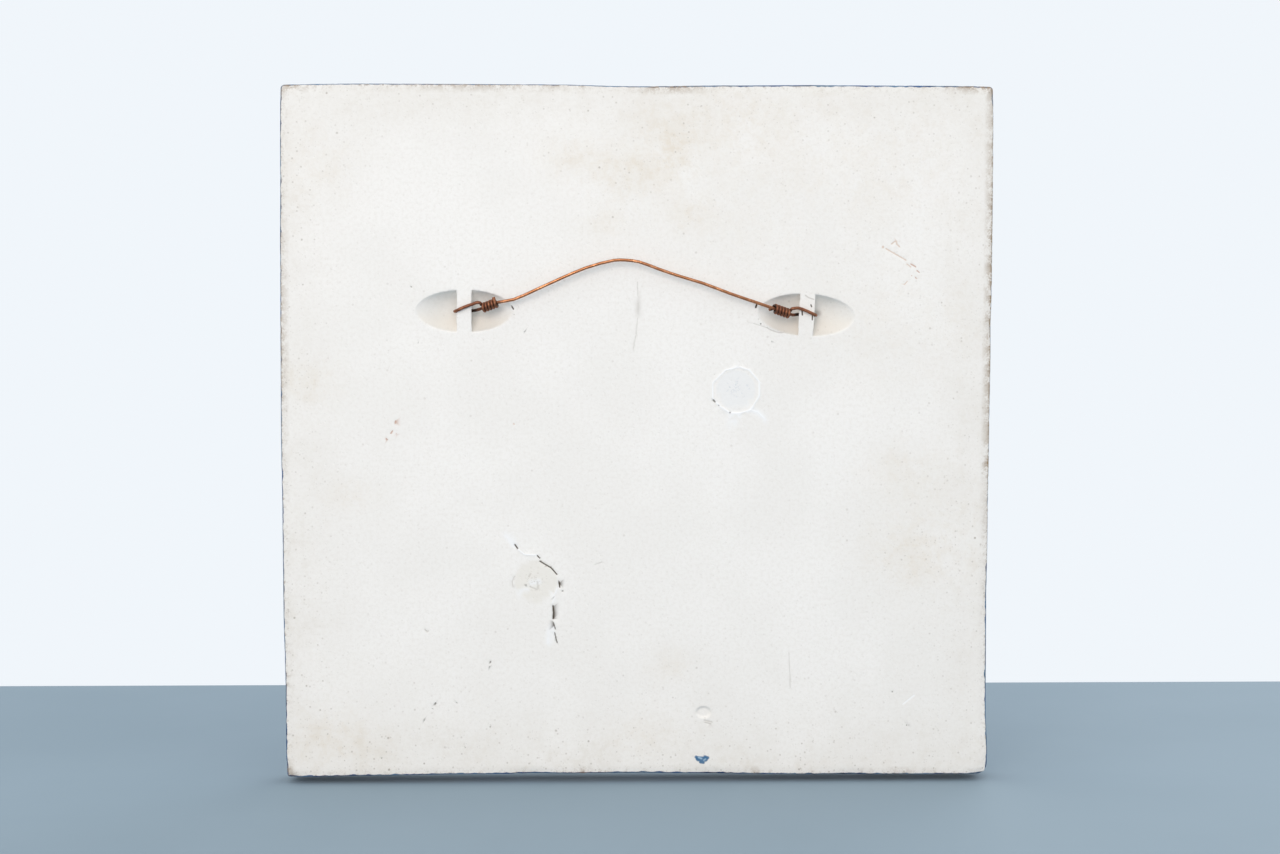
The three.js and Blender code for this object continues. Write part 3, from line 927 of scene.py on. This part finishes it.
class Nodes:
    """A short way to lay out shader nodes in one tree and join them."""

    def __init__(self, tree):
        self.tree = tree

    def add(self, kind, inputs, **settings):
        node = self.tree.nodes.new(kind)
        for name, value in settings.items():
            setattr(node, name, value)
        for key, value in inputs.items():
            self.feed(node.inputs[key], value)
        return node

    def feed(self, socket, value):
        if isinstance(value, bpy.types.NodeSocket):
            self.tree.links.new(value, socket)
        else:
            socket.default_value = value

    def maths(self, operation, a, b=0.0):
        return self.add('ShaderNodeMath', {0: a, 1: b}, operation=operation).outputs[0]

    def mix(self, share, a, b):
        node = self.add('ShaderNodeMix', {0: share, 6: a, 7: b}, data_type='RGBA')
        return node.outputs[2]

    def blend(self, share, a, b):
        node = self.add('ShaderNodeMix', {0: share, 2: a, 3: b}, data_type='FLOAT')
        return node.outputs[0]

    def noise(self, place, scale, detail=3.0, rough=0.5):
        inputs = {"Vector": place, "Scale": scale, "Detail": detail, "Roughness": rough}
        return self.add('ShaderNodeTexNoise', inputs).outputs["Fac"]

    def step(self, value, low, high):
        inputs = {"Value": value, "From Min": low, "From Max": high}
        return self.add('ShaderNodeMapRange', inputs, interpolation_type='SMOOTHSTEP').outputs["Result"]

    def named(self, attribute):
        return self.add('ShaderNodeAttribute', {}, attribute_name=attribute)

    def use(self, group, inputs):
        return self.add('ShaderNodeGroup', inputs, node_tree=group)


def new_group(name, inputs, outputs):
    """An empty shader node group with its own numbers and vectors in and out."""
    tree = bpy.data.node_groups.new(name, 'ShaderNodeTree')
    for socket, kind in inputs:
        tree.interface.new_socket(name=socket, in_out='INPUT', socket_type=kind)
    for socket, kind in outputs:
        tree.interface.new_socket(name=socket, in_out='OUTPUT', socket_type=kind)
    nodes = Nodes(tree)
    return nodes, nodes.add('NodeGroupInput', {}), nodes.add('NodeGroupOutput', {})


def speckle_group():
    """Small round specks, in only some of the cells, of uneven size."""
    nodes, given, made = new_group(
        "speckle",
        (("Place", 'NodeSocketVector'), ("Cells", 'NodeSocketFloat'), ("Size", 'NodeSocketFloat'),
         ("Cover", 'NodeSocketFloat')),
        (("Specks", 'NodeSocketFloat'),))
    inputs = {"Vector": given.outputs["Place"], "Scale": given.outputs["Cells"]}
    cells = nodes.add('ShaderNodeTexVoronoi', inputs)
    chance = nodes.add('ShaderNodeSeparateColor', {0: cells.outputs["Color"]})
    chosen = nodes.maths('LESS_THAN', chance.outputs[0], given.outputs["Cover"])
    size = nodes.maths('MULTIPLY', given.outputs["Size"], nodes.maths('ADD', chance.outputs[1], 0.3))
    inner = nodes.maths('MULTIPLY', size, 0.5)
    round_speck = nodes.step(cells.outputs["Distance"], size, inner)
    nodes.feed(made.inputs["Specks"], nodes.maths('MULTIPLY', round_speck, chosen))
    return nodes.tree


def blotch_group():
    """Blotches that break up at their edges: 1 where the surface is worn or dirty."""
    nodes, given, made = new_group(
        "broken_blotches",
        (("Place", 'NodeSocketVector'), ("Scale", 'NodeSocketFloat'), ("Amount", 'NodeSocketFloat')),
        (("Mask", 'NodeSocketFloat'),))
    broad = nodes.noise(given.outputs["Place"], given.outputs["Scale"], 5.0, 0.62)
    fine_scale = nodes.maths('MULTIPLY', given.outputs["Scale"], 6.0)
    fine = nodes.noise(given.outputs["Place"], fine_scale, 2.0, 0.5)
    both = nodes.maths('ADD', nodes.maths('MULTIPLY', broad, 0.7), nodes.maths('MULTIPLY', fine, 0.3))
    reach = nodes.maths('SUBTRACT', 1.0, given.outputs["Amount"])
    low = nodes.maths('ADD', nodes.maths('MULTIPLY', reach, 0.5), 0.2)
    high = nodes.maths('ADD', low, 0.14)
    nodes.feed(made.inputs["Mask"], nodes.step(both, low, high))
    return nodes.tree


SPECKLE = speckle_group()
BLOTCHES = blotch_group()


def new_material(name):
    """An empty material, with a short way to its nodes, its Object coordinates and its shader."""
    material = bpy.data.materials.new(name)
    material.use_nodes = True
    tree = material.node_tree
    nodes = Nodes(tree)
    place = nodes.add('ShaderNodeTexCoord', {}).outputs["Object"]
    return material, nodes, place, tree.nodes["Principled BSDF"]


def stoneware():
    """Bare off-white clay on the back, and a deep blue glaze that thins to brown at the arrises."""
    material, nodes, place, shader = new_material("stoneware_and_blue_glaze")
    handled = nodes.named("handled").outputs["Fac"]
    stain = nodes.named("stain").outputs["Fac"]
    hollow = nodes.named("hollow").outputs["Fac"]
    dirt = nodes.named("dirt").outputs["Fac"]
    mark = nodes.named("mark")
    thin = nodes.named("thin_glaze").outputs["Fac"]
    rim = nodes.named("rim").outputs["Fac"]
    flat = nodes.add('ShaderNodeVectorMath', {0: place, 1: (1, 0, 1)}, operation='MULTIPLY').outputs[0]
    tunnel = nodes.named("tunnel").outputs["Fac"]

    cloud = nodes.step(nodes.noise(place, 16, 4), 0.36, 0.64)
    bare = nodes.mix(cloud, CLAY_DULL, CLAY_BRIGHT)
    fine = nodes.step(nodes.noise(flat, 520, 4, 0.65), 0.4, 0.7)
    bare = nodes.mix(nodes.maths('MULTIPLY', fine, 0.42), bare, CLAY_GRAIN)
    flaws = nodes.step(nodes.noise(flat, 150, 6, 0.72), 0.42, 0.68)
    patchy = nodes.step(nodes.noise(place, 42, 6, 0.62), 0.34, 0.66)
    worn = nodes.maths('MULTIPLY', patchy, nodes.maths('ADD', nodes.maths('MULTIPLY', flaws, 0.75), 0.25))
    worn = nodes.maths('MULTIPLY', handled, nodes.maths('ADD', nodes.maths('MULTIPLY', worn, 0.9), 0.25))
    bare = nodes.mix(worn, bare, CLAY_HANDLED)
    beige = nodes.maths('ADD', nodes.maths('MULTIPLY', patchy, 0.45), nodes.maths('MULTIPLY', flaws, 0.55))
    beige = nodes.maths('MULTIPLY', stain, nodes.maths('ADD', beige, 0.12))
    bare = nodes.mix(beige, bare, CLAY_STAINED)
    bare = nodes.mix(nodes.maths('MULTIPLY', hollow, 0.8), bare, CLAY_IN_SCOOPS)
    dirtier = nodes.maths('ADD', nodes.maths('ADD', handled, stain), 0.28)
    for cells, size, cover, strength, colour in SPECKS:
        inputs = {"Place": flat, "Cells": cells, "Size": size, "Cover": cover}
        specks = nodes.maths('MULTIPLY', nodes.use(SPECKLE, inputs).outputs[0], strength)
        bare = nodes.mix(nodes.maths('MULTIPLY', specks, dirtier), bare, colour)
    edge = nodes.use(BLOTCHES, {"Place": place, "Scale": 380, "Amount": 0.42}).outputs[0]
    edge = nodes.maths('MULTIPLY', nodes.maths('ADD', nodes.maths('MULTIPLY', edge, 0.85), 0.06), rim)
    bare = nodes.mix(edge, bare, BROWN_ARRIS)
    bare = nodes.mix(mark.outputs["Alpha"], bare, mark.outputs["Color"])
    # Painted shade: the tunnels' walls go near black
    bare = nodes.mix(nodes.maths('MULTIPLY', tunnel, 0.85), bare, TUNNEL_PAINTED_SHADE)

    pool = nodes.step(nodes.noise(place, 26, 4, 0.6), 0.35, 0.65)
    blue = nodes.mix(pool, GLAZE_DEEP, GLAZE_BLUE)
    fleck = nodes.step(nodes.noise(place, 240, 2), 0.6, 0.74)
    blue = nodes.mix(nodes.maths('MULTIPLY', fleck, 0.45), blue, GLAZE_PALE_FLECKS)
    iron = nodes.use(SPECKLE, {"Place": place, "Cells": 210, "Size": 0.16, "Cover": 0.3}).outputs[0]
    blue = nodes.mix(nodes.maths('MULTIPLY', iron, 0.7), blue, GLAZE_IRON_SPECKS)
    thinned = nodes.use(BLOTCHES, {"Place": place, "Scale": 55, "Amount": 0.55}).outputs[0]
    thinned = nodes.maths('MULTIPLY', thin, nodes.maths('ADD', nodes.maths('MULTIPLY', thinned, 0.6), 0.15))
    blue = nodes.mix(thinned, blue, GLAZE_THINNED)

    ragged = nodes.maths('MULTIPLY', nodes.maths('SUBTRACT', nodes.noise(place, 300, 3), 0.5), 0.9)
    glazed = nodes.step(nodes.maths('ADD', nodes.named("glaze").outputs["Fac"], ragged), 0.4, 0.6)
    colour = nodes.mix(glazed, bare, blue)
    grime = nodes.use(BLOTCHES, {"Place": place, "Scale": 170, "Amount": 0.55}).outputs[0]
    grimy = nodes.maths('MULTIPLY', dirt, nodes.maths('ADD', nodes.maths('MULTIPLY', grime, 0.9), 0.08))
    colour = nodes.mix(grimy, colour, BROWN_DIRT)
    nodes.feed(shader.inputs["Base Color"], colour)
    glossy = nodes.blend(pool, *GLAZE_ROUGHNESS)
    nodes.feed(shader.inputs["Roughness"], nodes.blend(glazed, CLAY_ROUGHNESS, glossy))

    tooth = nodes.noise(place, 800, 5, 0.6)
    pores = nodes.use(SPECKLE, {"Place": place, "Cells": 420, "Size": 0.3, "Cover": 0.12}).outputs[0]
    raised = nodes.maths('MULTIPLY', tooth, 0.07)
    rough_clay = nodes.maths('SUBTRACT', raised, nodes.maths('MULTIPLY', pores, 0.08))
    peel = nodes.maths('MULTIPLY', nodes.noise(place, 130, 2), 0.16)
    height = nodes.blend(glazed, rough_clay, peel)
    bump = nodes.add('ShaderNodeBump', {"Strength": 0.8, "Distance": MM, "Height": height})
    nodes.feed(shader.inputs["Normal"], bump.outputs[0])
    return material


def copper():
    """Bare copper wire: bright where the arch is rubbed, browned and dull in the knots, painted shade in its
    grooves.
    """
    material, nodes, place, shader = new_material("copper_wire")
    browned = nodes.named("browned").outputs["Fac"]
    streaks = nodes.use(BLOTCHES, {"Place": place, "Scale": 90, "Amount": 0.6}).outputs[0]
    tarnish = nodes.use(BLOTCHES, {"Place": place, "Scale": 260, "Amount": 0.62}).outputs[0]
    crevice_shade = nodes.named("crevice_shade").outputs["Fac"]
    dull = nodes.maths('ADD', nodes.maths('MULTIPLY', browned, 0.72), nodes.maths('MULTIPLY', streaks, 0.28))
    warm = nodes.mix(tarnish, COPPER_BRIGHT, COPPER_TARNISHED)
    colour = nodes.mix(dull, warm, COPPER_BROWNED)
    # Painted shade between the turns and inside the tunnels
    colour = nodes.mix(nodes.maths('MULTIPLY', crevice_shade, 0.88), colour, COPPER_PAINTED_SHADE)
    grime = nodes.use(SPECKLE, {"Place": place, "Cells": 500, "Size": 0.35, "Cover": 0.3}).outputs[0]
    held = nodes.maths('ADD', nodes.maths('MULTIPLY', browned, 0.5), 0.1)
    colour = nodes.mix(nodes.maths('MULTIPLY', grime, held), colour, COPPER_GRIME)
    nodes.feed(shader.inputs["Base Color"], colour)
    nodes.feed(shader.inputs["Metallic"], nodes.blend(dull, 1.0, 0.75))
    nodes.feed(shader.inputs["Roughness"], nodes.blend(dull, 0.26, 0.4))
    scratches = nodes.noise(place, 900, 3)
    bump = nodes.add('ShaderNodeBump', {"Strength": 0.5, "Distance": 0.1 * MM, "Height": scratches})
    nodes.feed(shader.inputs["Normal"], bump.outputs[0])
    return material


def pale_floor():
    """Plain painted floor."""
    material, nodes, place, shader = new_material("pale_floor")
    cloud = nodes.step(nodes.noise(place, 5, 4), 0.3, 0.7)
    nodes.feed(shader.inputs["Base Color"], nodes.mix(cloud, *FLOOR_COLOURS))
    shader.inputs["Roughness"].default_value = 0.75
    return material


# The pieces

body = plaque_body()
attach(body, "root")
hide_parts("plaque_body")
body.data.materials.append(stoneware())

wire = hanging_wire()
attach(wire, "root")
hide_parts("hanging_wire")
wire.data.materials.append(copper())


# The stage, the light and the camera

floor_mesh = bmesh.new()
bmesh.ops.create_grid(floor_mesh, x_segments=1, y_segments=1, size=1)
floor_size = Matrix.Diagonal((2.2, 1.5, 1, 1))
floor_place = Matrix.Translation((0, 1.2, cad_box[0][2] - FLOOR_DROP))
bmesh.ops.transform(floor_mesh, matrix=floor_place @ floor_size, verts=floor_mesh.verts)
floor = piece_from(floor_mesh, "floor")
floor.data.materials.append(pale_floor())


def soft_light(name, aim, place, size, power, colour):
    """A square area light that faces the given spot."""
    data = bpy.data.lights.new(name, 'AREA')
    data.shape = 'SQUARE'
    data.size = size
    data.energy = power
    data.color = colour
    lamp = bpy.data.objects.new(name, data)
    lamp.location = place
    lamp.rotation_euler = (Vector(aim) - Vector(place)).to_track_quat('-Z', 'Y').to_euler()
    bpy.context.scene.collection.objects.link(lamp)


middle = (0, 0, -HOOK_HEIGHT * MM)
soft_light("window", middle, **WINDOW)
soft_light("front_fill", middle, **FRONT_FILL)

camera_data = bpy.data.cameras.new("camera")
camera_data.lens = LENS
camera_data.sensor_width = SENSOR
camera = bpy.data.objects.new("camera", camera_data)
camera.location = CAMERA_PLACE
camera.rotation_euler = (math.radians(90 - CAMERA_PITCH), 0, math.radians(180 - CAMERA_YAW))
bpy.context.scene.collection.objects.link(camera)
bpy.context.scene.camera = camera

world = bpy.data.worlds.new("soft_room")
world.use_nodes = True
background = world.node_tree.nodes["Background"]
background.inputs["Color"].default_value = ROOM_COLOUR
background.inputs["Strength"].default_value = 1.0
bpy.context.scene.world = world
bpy.context.scene.view_settings.view_transform = 'Standard'
